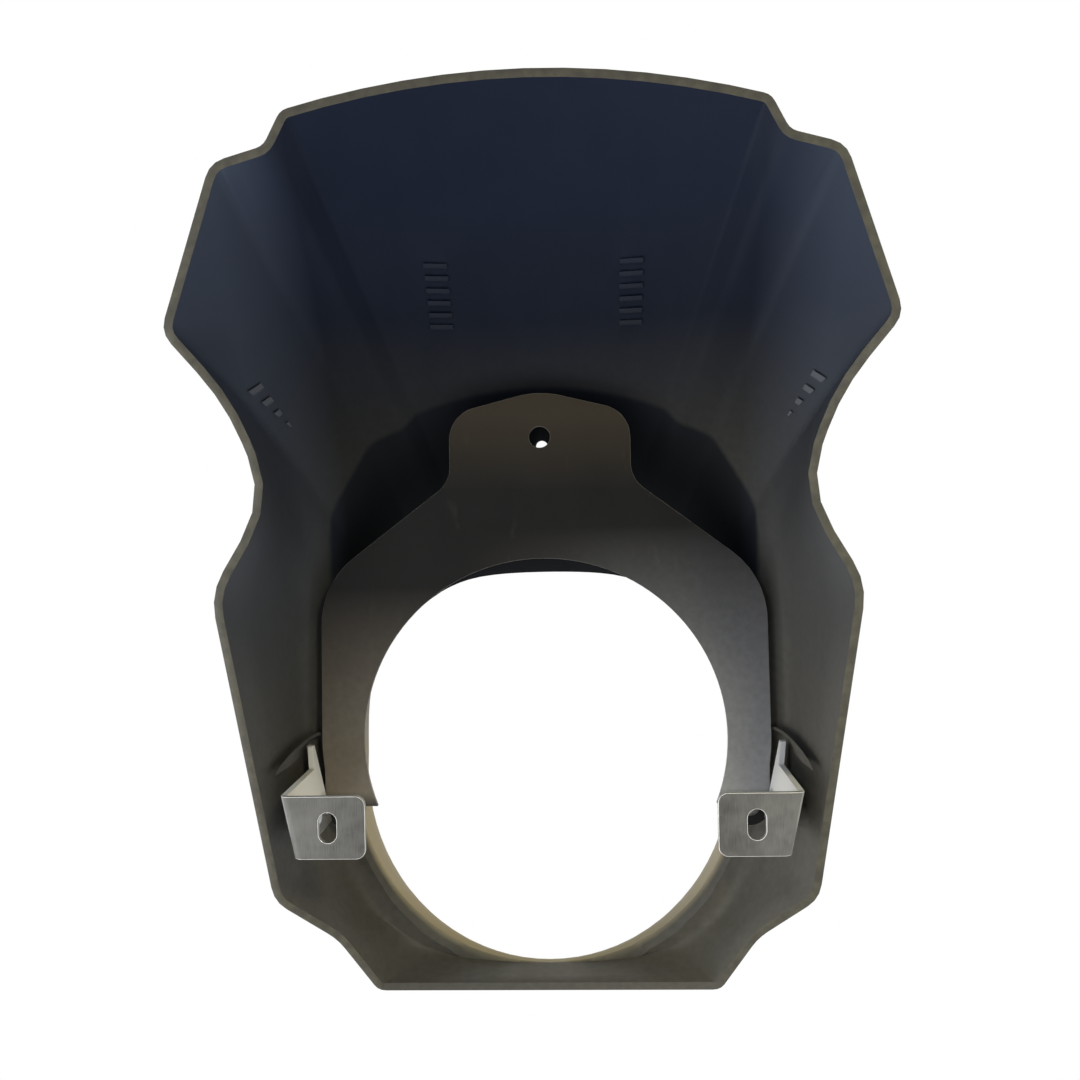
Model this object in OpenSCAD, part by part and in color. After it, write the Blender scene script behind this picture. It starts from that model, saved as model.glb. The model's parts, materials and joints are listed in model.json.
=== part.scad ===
// Headlight cowl for a round motorcycle lamp: a moulded shell, a horseshoe ring plate and two slotted brackets.
// X points right as the rider sees it, Y points forward and Z up, in millimetres.
// The origin is the centre of the ring plate's round opening, on the plate's rear face.

/* [Wall] */
// Thickness of the moulded wall
wall = 3; // [2.4:0.1:3.6]

/* [Lamp] */
// Radius of the lamp's bucket where it sits in the ring plate
lamp_r = 72.7; // [70:0.1:76]

/* [Rear rim] */
// Height of the top edge at the middle
apex_z = 238; // [228:1:248]
// Depth of the top edge behind the plate
apex_back = 75; // [70:1:80]
// Half width of the raised centre panel at the rim
crown_half_w = 80.5; // [76:0.5:84]
// Height of the raised panel's corner
crown_z = 225.5; // [221:0.5:228]
// Height of the step down beside the raised panel
step_h = 11.5; // [9:0.5:13]
// Width of the step
step_w = 6; // [5:0.5:7]
// Half width at the shoulder corner
shoulder_half_w = 104.5; // [100:0.5:107]
// Height of the shoulder corner
shoulder_z = 209; // [205:0.5:212]
// Half width at the tip of the flare, the widest point
flare_half_w = 122.5; // [119:0.5:126]
// Height of the tip of the flare
flare_z = 153.5; // [149:0.5:157]
// Depth of the rim from the shoulder to the flare, behind the plate
flare_back = 79; // [75:1:83]
// Room beside the ring plate where the flare's lower edge turns down
notch_room = 14.2; // [11:0.1:17]
// Height of that turn
notch_z = 130; // [126:0.5:133]
// Depth of the rim at that turn
notch_back = 70; // [66:1:74]
// Room beside the ring plate at the narrow waist
waist_room = 4.2; // [3:0.1:7]
// Height of the waist
waist_z = 98; // [94:0.5:102]
// Depth of the rim at the waist
waist_back = 60; // [56:1:64]
// Room beside the ring plate at the top of the cheek
cheek_room = 23.2; // [20:0.1:27]
// Height of the top of the cheek
cheek_z = 65; // [61:0.5:69]
// Depth of the rim there
cheek_back = 64; // [60:1:68]
// Room beside the ring plate at the low corner of the cheek
jaw_room = 11.2; // [9:0.1:14]
// Height of the low corner above the chin
jaw_rise = 43.5; // [40:0.5:47]
// Depth of the rim there
jaw_back = 36; // [33:1:39]
// Inset of the inward bend above the chin from the ring plate's side
bend_inset = 9.3; // [7:0.1:12]
// Height of that bend above the chin
bend_rise = 24; // [21:0.5:27]
// Depth of the rim there
bend_back = 22; // [20:1:25]
// Inset of the flat chin's corner from the ring plate's side
chin_inset = 22.8; // [20:0.1:26]
// Depth of the chin's rim
chin_back = 12; // [9:1:15]

/* [Lamp opening] */
// How much wider the shell's opening is than the lamp, all round
opening_clear = 4.8; // [3.5:0.1:6]
// How far the opening's centre lies below the plate's centre
opening_drop = 15.5; // [14.5:0.5:16.5]
// How far the flat brow lies below the top of the plate's opening
brow_dip = 7.7; // [5:0.1:10]
// How much wider than a circle the opening grows beside the brow
opening_swell = 8.5; // [7:0.5:10]
// How far the brow reaches in front of the plate
brow_reach = 54; // [48:1:60]
// How far the tunnel reaches in front of the plate at the bottom
chin_reach = 12; // [11:1:14]
// Front wall's inner face, in front of the plate's rear face
front_wall_y = 6; // [5.5:0.5:7.5]

/* [Visor] */
// How far the visor panel bulges forward
visor_bulge = 16; // [12:1:20]

/* [Ring plate] */
// Thickness of the ring plate
plate_t = 2; // [1.6:0.1:2.6]
// Width of the ring beside the lamp
ring_w = 17.1; // [15:0.1:19]
// Inset of the plate's shoulders from its widest point
shoulder_inset = 0.8; // [0.2:0.1:3]
// Height of the shoulders
plate_shoulder_z = 81; // [78:0.5:84]
// Half width of the top tab
tab_half_w = 36; // [33:0.5:39]
// Height of the tab's top edge above the plate's opening
tab_rise = 65.6; // [62:0.1:68]
// Height of the neck, where the tab starts, above the opening
neck_rise = 31; // [28:0.1:34]
// Radius of the tab's hole
tab_hole_r = 4.2; // [3:0.1:5]
// Distance of the hole's centre below the tab's top edge
tab_hole_drop = 17.4; // [14:0.1:21]
// Depth to which the plate's two legs reach below its centre
leg_drop = 35; // [33:0.5:37]

/* [Brackets] */
// Thickness of the bracket sheet
bracket_t = 2.2; // [1.8:0.1:2.6]
// Distance from the ring plate's side to the flange's outer top corner
leg_room = 3.3; // [2.5:0.1:4]
// Width of the flange at its top edge
flange_w = 30.6; // [28:0.1:33]
// Drop of the flange's top edge below the plate's centre
flange_top_drop = 8.5; // [7:0.5:10]
// Height of the flange
flange_h = 22.5; // [20:0.5:25]
// How far the flange stands behind the plate
flange_back = 55; // [50:1:60]
// Slope of the bracket's leg, in degrees from upright
leg_lean = 11.8; // [9:0.1:14]
// Width of the slot
slot_w = 6.6; // [5.5:0.1:8]
// End-to-end length of the slot
slot_l = 11; // [9:0.5:13]
// Distance of the slot from the flange's outer top corner
slot_inset = 17.1; // [15:0.1:19]
// Height of the ear at the leg's far end
ear_h = 8; // [6:0.5:9]
// Width of the ear at its foot
ear_w = 8; // [6:0.5:10]
// Width of the ear at its tip
ear_tip_w = 3; // [2:0.5:5]
// Gap from the leg's far end to the plate's rear face
leg_end_gap = 2; // [1.5:0.5:4]

/* [Screws] */
// Radius of the screws' shanks
screw_r = 2; // [1.6:0.1:2.4]
// Radius of the pan heads
head_r = 3.8; // [3.4:0.1:4]
// Height of the pan heads
head_h = 2.4; // [2:0.1:3]
// Length of the bracket screws' shanks under the head
screw_l = 7; // [6:0.5:8]
// Length of the plate screws' shanks under the head
plate_screw_l = 6; // [5:0.5:6.5]
// Gap between a shank and its hole
screw_gap = 0.1; // [0.05:0.05:0.2]
// Radius of the moulded bosses
boss_r = 4.2; // [4:0.1:4.6]
// Distance of each bracket's first screw behind the plate
leg_screw_back = 9; // [8:0.5:11]
// Distance from there to its second screw
leg_screw_pitch = 14; // [11:0.5:20]

/* [Moulded ribs] */
// Height of a rib over the wall
rib_rise = 0.9; // [0.6:0.1:1.4]
// Width of a rib
rib_w = 1.5; // [1:0.1:2]
// Length of a panel rib
panel_rib_l = 8.6; // [6:0.1:12]
// Number of ribs in each panel group
panel_rib_count = 6; // [3:1:8]
// Distance between panel ribs
panel_rib_pitch = 4; // [3.2:0.1:5]
// Half distance between the two panel groups
panel_rib_half_span = 36.4; // [30:0.1:44]
// Height of the lowest panel ribs
panel_rib_z = 163.3; // [158:0.1:170]
// Length of a flare rib
flare_rib_l = 6.4; // [4:0.1:8]
// Number of ribs in each flare group
flare_rib_count = 4; // [2:1:5]
// Distance between flare ribs
flare_rib_pitch = 4.6; // [3.6:0.1:5.6]

/* [Hidden] */

// Sizes that follow from the ones above
plate_half_w = lamp_r + ring_w;
tab_z = lamp_r + tab_rise;
neck_z = lamp_r + neck_rise;
tab_hole_z = tab_z - tab_hole_drop;
opening_r = lamp_r + opening_clear;
brow_z = lamp_r - brow_dip;
chin_drop = opening_drop + opening_r + wall;
flange_outer = plate_half_w + leg_room;
flange_inner = flange_outer - flange_w;
slot_half_span = flange_outer - slot_inset;

// Points and small vector tools
function lerp(a, b, t) = a + (b - a) * t;
function unit(v) = v / norm(v);
function curve3(a, b, c, t) = lerp(lerp(a, b, t), lerp(b, c, t), t);
function smooth(t) = let (s = min(1, max(0, t))) s * s * (3 - 2 * s);

// Corners of the rear rim's right half: x, y, z, rounding, and the angle round the lamp that each leads to
CROWN_STEPS = 6;
function crown(t) = [crown_half_w * t, -lerp(apex_back, flare_back, t * t),
                     lerp(apex_z, crown_z, t * t), 0, lerp(90, 70, t)];
rim_corners = concat([for (k = [0 : CROWN_STEPS - 1]) crown(k / CROWN_STEPS)], [
    [crown_half_w, -flare_back, crown_z, 2.5, 70],
    [crown_half_w + step_w, -flare_back, crown_z - step_h, 2.5, 66.5],
    [shoulder_half_w, -flare_back, shoulder_z, 5, 58],
    [flare_half_w, -flare_back, flare_z, 5, 41],
    [plate_half_w + notch_room, -notch_back, notch_z, 14, 31],
    [plate_half_w + waist_room, -waist_back, waist_z, 20, 20],
    [plate_half_w + cheek_room, -cheek_back, cheek_z, 9, 6],
    [plate_half_w + jaw_room, -jaw_back, jaw_rise - chin_drop, 6, -38],
    [plate_half_w - bend_inset, -bend_back, bend_rise - chin_drop, 5, -52],
    [plate_half_w - chin_inset, -chin_back, -chin_drop, 3, -64],
    [0, -chin_back, -chin_drop, 0, -90],
]);
last_corner = len(rim_corners) - 1;
CORNER_STEPS = 3;
DEGREES_PER_STATION = 4.6;

function corner_at(i, side) =
    let (c = rim_corners[i], n = rim_corners[i + side],
         d = norm([n.x - c.x, n.y - c.y, n.z - c.z]),
         f = min(0.45, c[3] / d))
    lerp(c, n, f);
function rounded_corner(i) =
    rim_corners[i][3] == 0 ? [rim_corners[i]] :
    [for (k = [0 : CORNER_STEPS])
        curve3(corner_at(i, -1), rim_corners[i], corner_at(i, 1), k / CORNER_STEPS)];
function after_corner(i) =
    i >= last_corner ? [] :
    let (a = rim_corners[i][3] == 0 ? rim_corners[i] : corner_at(i, 1),
         b = rim_corners[i + 1][3] == 0 ? rim_corners[i + 1] : corner_at(i + 1, -1),
         n = ceil((a[4] - b[4]) / DEGREES_PER_STATION))
    n < 2 ? [] : [for (k = [1 : n - 1]) lerp(a, b, k / n)];
right_stations = [for (i = [0 : last_corner]) each concat(rounded_corner(i), after_corner(i))];
half_count = len(right_stations);
mirrored = [for (k = [half_count - 2 : -1 : 1]) let (s = right_stations[k])
    [-s[0], s[1], s[2], s[3], 180 - s[4]]];
stations = concat(right_stations, mirrored);
station_count = len(stations);

// Outline of the lamp opening at an angle: a circle below, swelling above into a flat brow
SWELL_ANGLE = 36;
BROW_SOFTNESS = 24;
function opening_radius(theta) =
    let (up = theta > 90 ? 180 - theta : theta,
         swollen = 1 + opening_swell / opening_r * smooth(up / SWELL_ANGLE),
         brow = (brow_z + opening_drop) / opening_r / max(sin(up), 0.1),
         p = BROW_SOFTNESS)
    opening_r * pow(pow(swollen, -p) + pow(brow, -p), -1 / p);
function ring_point(theta, out, y) =
    let (r = opening_radius(theta) + out) [r * cos(theta), y, r * sin(theta) - opening_drop];
function tunnel_front(theta) = lerp(chin_reach, brow_reach, (1 + sin(theta)) / 2);

// Middle of the rim's neighbourhood, which lets the rim's corners fade out towards the lamp
SOFT_REACH = 7;
function wrap(i) = (i + station_count) % station_count;
function rim_at(i) = [stations[wrap(i)][0], stations[wrap(i)][1], stations[wrap(i)][2]];
function sum3(list, k = 0) = k < len(list) ? list[k] + sum3(list, k + 1) : [0, 0, 0];
function soft_rim(i) = sum3([for (k = [-SOFT_REACH : SOFT_REACH]) rim_at(i + k)]) / (2 * SOFT_REACH + 1);

// The wall's outer face at a station, from the tunnel's front edge back to the rear rim
VISOR_STEPS = [0, 0.05, 0.1, 0.15, 0.2, 0.27, 0.34, 0.42, 0.5, 0.6, 0.73, 0.87, 1];
PROFILE_COUNT = len(VISOR_STEPS);
TUNNEL_COUNT = 5;
SHOULDER_SHARE = 0.16;
SHOULDER_LEAD = 5;
CHEEK_FULLNESS = 1.7;
SHOULDER_RUN = 25;
FILLET = 3.5;
function conic(a, b, c, w, t) =
    let (u = (1 - t) * (1 - t), v = 2 * w * t * (1 - t), x = t * t) (u * a + v * b + x * c) / (u + v + x);
function visor_profile(front, rim) =
    let (middle = [lerp(front.x, rim.x, 0.55), lerp(front.y, rim.y, 0.45) + visor_bulge,
                   lerp(front.z, rim.z, 0.55)])
    [for (t = VISOR_STEPS) curve3(front, middle, rim, t)];
function bowl_profile(front, root, shoulder, rim) =
    let (r = min(FILLET, 0.3 * norm(shoulder - root), 0.6 * norm(front - root)),
         before = root + r * unit(front - root),
         after = root + r * unit(shoulder - root),
         steps = PROFILE_COUNT - TUNNEL_COUNT)
    concat([front, lerp(front, before, 0.5), before, curve3(before, root, after, 0.5), after],
           [for (k = [1 : steps]) conic(after, shoulder, rim, CHEEK_FULLNESS, k / steps)]);
function profile(i) =
    let (theta = stations[i][4], rim = rim_at(i), soft = soft_rim(i),
         front = ring_point(theta, wall, tunnel_front(theta)),
         root = ring_point(theta, wall, min(front_wall_y + wall, front.y - 1)),
         share = lerp(soft, root, SHOULDER_SHARE),
         lead = lerp(-1, SHOULDER_LEAD, smooth(norm([rim.x - root.x, rim.z - root.z]) / SHOULDER_RUN)),
         bowl = bowl_profile(front, root, [share.x, root.y + lead, share.z], rim),
         visor = visor_profile(front, rim),
         up = theta > 90 ? 180 - theta : theta,
         w = smooth((up - 18) / 40))
    [for (j = [0 : PROFILE_COUNT - 1]) lerp(bowl[j], visor[j], w)];
outer = [for (i = [0 : station_count - 1]) profile(i)];

// The inner face lies one wall inside the outer one, and the edges stay square to Y
function inward(i, j) =
    let (along = outer[wrap(i + 1)][j] - outer[wrap(i - 1)][j],
         back = outer[i][min(j + 1, PROFILE_COUNT - 1)] - outer[i][max(j - 1, 0)],
         n = cross(along, back),
         edge = j == 0 || j == PROFILE_COUNT - 1)
    unit(edge ? [n.x, 0, n.z] : n);
function wall_point(i, j, depth) = outer[wrap(i)][j] + depth * inward(wrap(i), j);
function wall_rows(depth) = [for (i = [0 : station_count - 1], j = [0 : PROFILE_COUNT - 1])
    wall_point(i, j, depth)];

module shell_wall() {
    n = station_count;
    m = PROFILE_COUNT;
    points = concat(wall_rows(0), wall_rows(wall));
    function at(i, j, side) = side * n * m + wrap(i) * m + j;
    skin = [for (i = [0 : n - 1], j = [0 : m - 2], side = [0, 1])
        let (a = at(i, j, side), b = at(i + 1, j, side), c = at(i + 1, j + 1, side), d = at(i, j + 1, side))
        each side == 0 ? [[a, b, c], [a, c, d]] : [[a, c, b], [a, d, c]]];
    edges = [for (i = [0 : n - 1], j = [0, m - 1])
        let (a = at(i, j, 0), b = at(i + 1, j, 0), c = at(i + 1, j, 1), d = at(i, j, 1))
        each j == 0 ? [[a, c, b], [a, d, c]] : [[a, b, c], [a, c, d]]];
    polyhedron(points = points, faces = concat(skin, edges), convexity = 10);
}

// A piece of the wall's inner skin, from inside the wall to a rise over it, which shapes what is moulded on it.
// It takes in the right half's stations between two angles round the lamp, from one row of points to the rim.
SKIN_ROOT = 1.6;
module skin(angles, from_row, rise) {
    picked = [for (k = [0 : half_count - 1]) if (stations[k][4] <= angles[0] && stations[k][4] >= angles[1]) k];
    n = len(picked);
    m = PROFILE_COUNT - from_row;
    points = [for (depth = [wall - SKIN_ROOT, wall + rise], k = picked, j = [from_row : PROFILE_COUNT - 1])
        wall_point(k, j, depth)];
    function at(a, b, side) = (side * n + a) * m + b;
    function band(p, q) = [[at(q.x, q.y, 0), at(p.x, p.y, 0), at(p.x, p.y, 1)],
                           [at(q.x, q.y, 0), at(p.x, p.y, 1), at(q.x, q.y, 1)]];
    layers = [for (a = [0 : n - 2], b = [0 : m - 2], side = [0, 1])
        let (p = at(a, b, side), q = at(a + 1, b, side), r = at(a + 1, b + 1, side), s = at(a, b + 1, side))
        each side == 0 ? [[p, q, r], [p, r, s]] : [[p, r, q], [p, s, r]]];
    borders = concat([for (a = [0 : n - 2]) each band([a, 0], [a + 1, 0])],
                     [for (b = [0 : m - 2]) each band([n - 1, b], [n - 1, b + 1])],
                     [for (a = [n - 1 : -1 : 1]) each band([a, m - 1], [a - 1, m - 1])],
                     [for (b = [m - 1 : -1 : 1]) each band([0, b], [0, b - 1])]);
    polyhedron(points = points, faces = concat(layers, borders), convexity = 6);
}

// Ribs moulded on the inner skin: a ladder on the panel, and a slanting row where the flare turns down
PANEL_ANGLES = [88, 71];
FLARE_ANGLES = [48, 20];
RIB_ROW = 6;
FLARE_RIB_TURN = 50;
flare_rib_x = plate_half_w + 3.5;
flare_rib_z = notch_z - 1.6;
module rib(length) {
    translate([-length / 2, -rib_w / 2]) square([length, rib_w]);
}
module panel_ribs() {
    for (k = [0 : panel_rib_count - 1])
        translate([panel_rib_half_span, panel_rib_z + k * panel_rib_pitch]) rib(panel_rib_l);
}
module flare_ribs() {
    translate([flare_rib_x, flare_rib_z]) rotate(FLARE_RIB_TURN)
        for (k = [0 : flare_rib_count - 1]) translate([k * flare_rib_pitch, 0]) rotate(90) rib(flare_rib_l);
}

// A low wall that arches round the tip of a bracket's ear, outside the ring plate
EAR_ANGLES = [8, -24];
EAR_ROW = 5;
ARCH_R = 7.2;
ARCH_W = 1.2;
ARCH_RISE = 3.5;
arch_x = plate_half_w + 0.4;
arch_z = -flange_top_drop + 4;
module ear_arch() {
    intersection() {
        difference() {
            translate([arch_x, arch_z]) circle(r = ARCH_R + ARCH_W, $fn = 48);
            translate([arch_x, arch_z]) circle(r = ARCH_R, $fn = 48);
        }
        translate([arch_x, arch_z]) square(2 * ARCH_R);
    }
}
module on_skin(angles, from_row, rise) {
    intersection() {
        skin(angles, from_row, rise);
        rotate([90, 0, 0]) translate([0, 0, -brow_reach - wall])
            linear_extrude(brow_reach + flare_back + 2 * wall) children();
    }
}
module moulded_details() {
    for (side = [-1, 1]) mirror([side < 0 ? 1 : 0, 0, 0]) {
        on_skin(PANEL_ANGLES, RIB_ROW, rib_rise) panel_ribs();
        on_skin(FLARE_ANGLES, RIB_ROW, rib_rise) flare_ribs();
        on_skin(EAR_ANGLES, EAR_ROW, ARCH_RISE) ear_arch();
    }
}

// Places of the screws: along each bracket's leg, and on each of the plate's legs
leg_screw_backs = [leg_screw_back, leg_screw_back + leg_screw_pitch];
leg_screw_drop = flange_h * 0.69;
LUG_R = 8;
LUG_INSET = 0.8;
plate_screw_x = plate_half_w - LUG_R - LUG_INSET;
plate_screw_z = LUG_R - leg_drop;
plate_post_z = 48;
VISOR_HOLE_R = 2.5;
visor_hole_z = tab_hole_z - 2.6;
BOSS_SINK = 1.6;

// Turns a child drawn with x away from the leg's outer face, y forward and z up into the bracket's place
module at_leg(side) {
    mirror([side < 0 ? 1 : 0, 0, 0])
        translate([flange_outer, 0, -flange_top_drop])
            rotate([0, leg_lean, 0])
                children();
}
module at_leg_screw(back) {
    translate([0, -back, -leg_screw_drop]) rotate([0, 90, 0]) children();
}
// Places a child on the front face of the ring plate, its z pointing forward
module at_plate(side, z) {
    translate([side * plate_screw_x, plate_t, z]) rotate([-90, 0, 0]) children();
}

// The wall's inner face beside a bracket: its point at a depth on one station
function at_depth(i, y) =
    let (row = [for (j = [TUNNEL_COUNT - 1 : PROFILE_COUNT - 1]) wall_point(i, j, wall)],
         k = [for (j = [1 : len(row) - 1]) if (row[j].y <= y && row[j - 1].y > y) j][0])
    lerp(row[k - 1], row[k], (row[k - 1].y - y) / (row[k - 1].y - row[k].y));
// Its x at a depth and a height, from the stations beside the bracket
SIDE_ANGLES = [12, -45];
function side_x(y, z) =
    let (line = [for (k = [0 : half_count - 1])
             if (stations[k][4] < SIDE_ANGLES[0] && stations[k][4] > SIDE_ANGLES[1]) at_depth(k, y)],
         k = [for (j = [1 : len(line) - 1]) if (line[j].z <= z && line[j - 1].z > z) j][0])
    lerp(line[k - 1], line[k], (line[k - 1].z - z) / (line[k - 1].z - line[k].z)).x;
// The inner wall's depth in front of a place on the ring plate, as a mean over the points round it
NEAR_R = 12;
function wall_y(x, z) =
    let (near = [for (i = [0 : station_count - 1], j = [TUNNEL_COUNT - 1 : PROFILE_COUNT - 1])
             let (q = wall_point(i, j, wall), d = norm([q.x - x, q.z - z]))
             if (d < NEAR_R) [q.y / pow(d + 0.5, 3), 1 / pow(d + 0.5, 3), 0]],
         total = sum3(near))
    total.x / total.y;
// Distance from a leg's outer face to the wall along a screw, found by trying again from the last guess
function boss_reach(back, guess = 8, tries = 3) =
    let (start = [flange_outer - leg_screw_drop * sin(leg_lean),
                  -flange_top_drop - leg_screw_drop * cos(leg_lean)],
         reach = (side_x(-back, start.y - guess * sin(leg_lean)) - start.x) / cos(leg_lean))
    tries == 0 ? reach : boss_reach(back, reach, tries - 1);

// Bosses for the screws, and one post a side that backs the plate's shoulder
module shell_bosses() {
    for (side = [-1, 1]) {
        at_leg(side) for (back = leg_screw_backs) at_leg_screw(back)
            cylinder(r = boss_r, h = boss_reach(back) + wall / 2, $fn = 48);
        for (z = [plate_screw_z, plate_post_z])
            at_plate(side, z)
                cylinder(r = boss_r, h = wall_y(plate_screw_x, z) - plate_t + BOSS_SINK, $fn = 48);
    }
}

module cowl_shell() {
    color([0.11, 0.12, 0.13])
    difference() {
        union() {
            shell_wall();
            shell_bosses();
            moulded_details();
        }
        translate([0, 0, visor_hole_z]) rotate([-90, 0, 0]) cylinder(r = VISOR_HOLE_R, h = 60, $fn = 48);
        for (side = [-1, 1]) {
            at_leg(side) for (back = leg_screw_backs) at_leg_screw(back)
                translate([0, 0, -1])
                    cylinder(r = screw_r + screw_gap, h = 1.2 + screw_l - bracket_t, $fn = 32);
            at_plate(side, plate_screw_z) translate([0, 0, -1])
                cylinder(r = screw_r + screw_gap, h = 1.2 + plate_screw_l - plate_t, $fn = 32);
        }
    }
}

// The ring plate's outline, as seen from behind, without its round opening
SIDE_ARC_R = 70;
SHOULDER_R = 34;
TAB_CORNER_R = 13;
TAB_CROWN = 5;
NECK_FILLET = 12;
module plate_body() {
    for (side = [-1, 1]) {
        translate([side * (plate_half_w - SIDE_ARC_R), 0]) circle(r = SIDE_ARC_R, $fn = 96);
        translate([side * (plate_half_w - shoulder_inset - SHOULDER_R), plate_shoulder_z - SHOULDER_R])
            circle(r = SHOULDER_R, $fn = 48);
    }
    translate([-tab_half_w, neck_z - 1]) square([2 * tab_half_w, 1]);
}
module plate_tab() {
    for (side = [-1, 1])
        translate([side * (tab_half_w - TAB_CORNER_R), tab_z - TAB_CROWN - TAB_CORNER_R])
            circle(r = TAB_CORNER_R, $fn = 64);
    translate([0, tab_z - tab_half_w]) circle(r = tab_half_w, $fn = 96);
    translate([-tab_half_w, neck_z - NECK_FILLET]) square([2 * tab_half_w, 1]);
}
module plate_outline() {
    intersection() {
        offset(r = -NECK_FILLET) offset(r = NECK_FILLET) {
            hull() plate_body();
            hull() plate_tab();
        }
        translate([-2 * plate_half_w, plate_screw_z + 1]) square([4 * plate_half_w, 2 * tab_z]);
    }
    for (side = [-1, 1]) hull() for (up = [0, 2.4 * LUG_R])
        translate([side * plate_screw_x, plate_screw_z + up]) circle(r = LUG_R, $fn = 48);
}

module ring_plate() {
    color([0.17, 0.16, 0.15])
    difference() {
        rotate([90, 0, 0]) translate([0, 0, -plate_t]) linear_extrude(plate_t) plate_outline();
        rotate([-90, 0, 0]) translate([0, 0, -1]) cylinder(r = lamp_r, h = plate_t + 2, $fn = 180);
        translate([0, -1, tab_hole_z]) rotate([-90, 0, 0]) cylinder(r = tab_hole_r, h = plate_t + 2, $fn = 48);
        for (side = [-1, 1])
            at_plate(side, plate_screw_z) translate([0, 0, -plate_t - 1])
                cylinder(r = screw_r + screw_gap, h = plate_t + 2, $fn = 32);
    }
}

// One bracket: an L folded from sheet, trimmed to its outline from behind, with its ear, slot and screw holes
BEND_R = 3;
FLANGE_CORNER = 3.5;
EAR_FOOT = 5;
module folded_sheet() {
    reach = 2 * flange_w;
    leg = flange_back - leg_end_gap;
    difference() {
        union() {
            translate([-reach, BEND_R]) square([reach, leg - BEND_R]);
            translate([-reach, 0]) square([reach - BEND_R, BEND_R + 1]);
            translate([-BEND_R, BEND_R]) circle(r = BEND_R, $fn = 48);
        }
        translate([-reach - 1, bracket_t]) square([reach + 1 - bracket_t, leg]);
    }
}
module flange_outline() {
    width = 2 * flange_w;
    bottom = -flange_top_drop - flange_h;
    for (z = [bottom + FLANGE_CORNER, -flange_top_drop - FLANGE_CORNER])
        translate([flange_inner + FLANGE_CORNER, z]) circle(r = FLANGE_CORNER, $fn = 48);
    translate([flange_inner, bottom + FLANGE_CORNER]) square([width, flange_h - 2 * FLANGE_CORNER]);
    translate([flange_inner + FLANGE_CORNER, bottom]) square([width, flange_h]);
}
module ear_outline() {
    top = EAR_FOOT + ear_h;
    polygon([[0, 0], [ear_w, 0], [ear_w, top], [ear_w - ear_tip_w, top], [0, EAR_FOOT]]);
}
module slot_outline() {
    for (z = [-1, 1]) translate([0, z * (slot_l - slot_w) / 2]) circle(r = slot_w / 2, $fn = 48);
    square([slot_w, slot_l - slot_w], center = true);
}
module bracket(side) {
    span = 4 * flange_h;
    difference() {
        intersection() {
            at_leg(side) translate([0, -flange_back, -span * 2 / 3]) linear_extrude(span) folded_sheet();
            mirror([side < 0 ? 1 : 0, 0, 0]) union() {
                rotate([90, 0, 0]) translate([0, 0, leg_end_gap]) linear_extrude(flange_back)
                    flange_outline();
                translate([flange_outer - flange_w / 3, -leg_end_gap - ear_w, -flange_top_drop - EAR_FOOT])
                    rotate([90, 0, 90]) linear_extrude(flange_w) ear_outline();
            }
        }
        mirror([side < 0 ? 1 : 0, 0, 0])
            translate([slot_half_span, bracket_t + 1 - flange_back, -flange_top_drop - flange_h / 2])
                rotate([90, 0, 0]) linear_extrude(bracket_t + 2) slot_outline();
        at_leg(side) for (back = leg_screw_backs) at_leg_screw(back)
            translate([0, 0, -bracket_t - 1]) cylinder(r = screw_r + screw_gap, h = bracket_t + 2, $fn = 32);
    }
}
module left_bracket() { color([0.66, 0.66, 0.64]) bracket(-1); }
module right_bracket() { color([0.66, 0.66, 0.64]) bracket(1); }

// A pan-head screw: the underside of the head at z 0, the shank along +z
module screw(length) {
    color([0.55, 0.56, 0.57]) {
        cylinder(r = screw_r, h = length, $fn = 32);
        intersection() {
            translate([0, 0, -head_h]) cylinder(r = head_r, h = head_h, $fn = 48);
            translate([0, 0, head_r * 1.6 - head_h]) sphere(r = head_r * 1.6, $fn = 64);
        }
    }
}
module bracket_screw(side, n) {
    at_leg(side) at_leg_screw(leg_screw_backs[n]) translate([0, 0, -bracket_t]) screw(screw_l);
}
module plate_screw(side) {
    at_plate(side, plate_screw_z) translate([0, 0, -plate_t]) screw(plate_screw_l);
}

cowl_shell();
ring_plate();
left_bracket();
right_bracket();
bracket_screw(-1, 0);  // left_bracket_screw_1
bracket_screw(-1, 1);  // left_bracket_screw_2
bracket_screw(1, 0);  // right_bracket_screw_1
bracket_screw(1, 1);  // right_bracket_screw_2
plate_screw(-1);  // left_plate_screw
plate_screw(1);  // right_plate_screw
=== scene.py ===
import json
import math

import bpy
from mathutils import Matrix, Vector

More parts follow.
